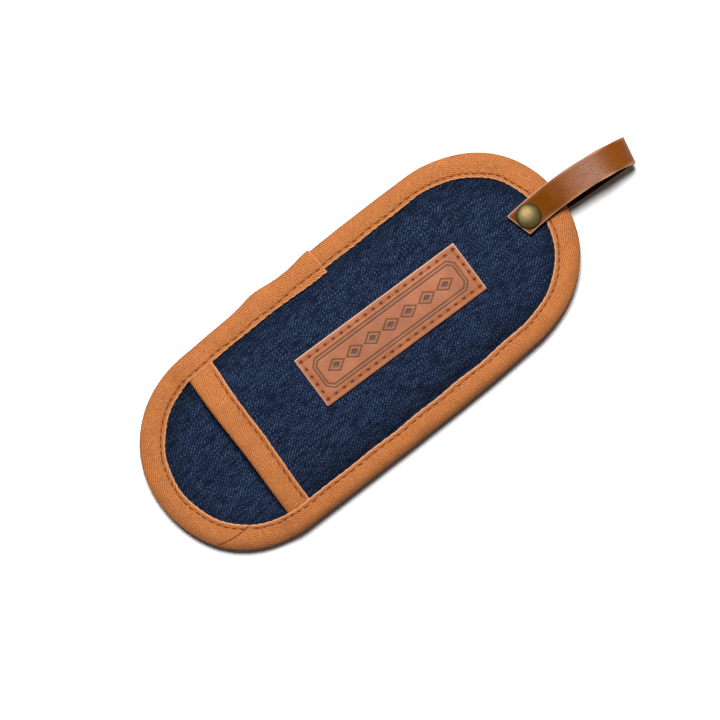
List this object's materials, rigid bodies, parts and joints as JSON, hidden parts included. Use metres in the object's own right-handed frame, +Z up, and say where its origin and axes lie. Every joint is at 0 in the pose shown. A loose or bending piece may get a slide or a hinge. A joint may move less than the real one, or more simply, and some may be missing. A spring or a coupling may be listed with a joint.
{
  "type": "oven mitt",
  "caption": "Padded denim sleeve that slides over a hot pan handle, with a bound edge, an open mouth at one end, a leather patch and a riveted leather hanging loop.",
  "frame": {"origin": "middle of the flat back face, which is also the middle of the bound outline", "axes": "+X along the mitt, from the pocket's mouth towards the hanging loop; +Y across it; +Z up out of the front, away from the face that it lies on"},
  "size_m": [0.2421, 0.0897, 0.0154],
  "materials": {
    "denim": "indigo denim, 3/1 right-hand twill, matt",
    "wadding": "needled cotton and polyester wadding",
    "cotton_lining": "plain cotton, matt",
    "bias_tape": "orange cotton twill tape, cut on the bias, matt",
    "thread": "corespun sewing thread, slight sheen",
    "patch_leather": "vegetable-tanned split, waxed, matt",
    "strap_leather": "oiled cowhide, soft sheen",
    "antique_brass": "antiqued, tumbled, satin"
  },
  "bodies": {
    "pad": {"back_shell": "denim", "back_wadding": "wadding", "back_lining": "denim", "front_lining": "cotton_lining", "front_wadding": "wadding", "front_shell": "denim", "mouth_binding": "bias_tape", "edge_tape_first": "bias_tape", "edge_tape_second": "bias_tape", "edge_needle_thread": "thread", "edge_bobbin_thread": "thread", "mouth_needle_thread": "thread", "mouth_bobbin_thread": "thread", "patch_needle_thread": "thread", "patch_bobbin_thread": "thread", "leather_patch": "patch_leather", "rivet_cap": "antique_brass", "rivet_base": "antique_brass"},
    "loop": {"hanging_strap": "strap_leather"}
  },
  "joints": [
    {"name": "loop_swivel", "type": "hinge", "parent": "pad", "child": "loop", "pos_m": [0.0885, -0.0009, 0], "axis": [0, 0, 1], "range_deg": [-90, 90]}
  ]
}
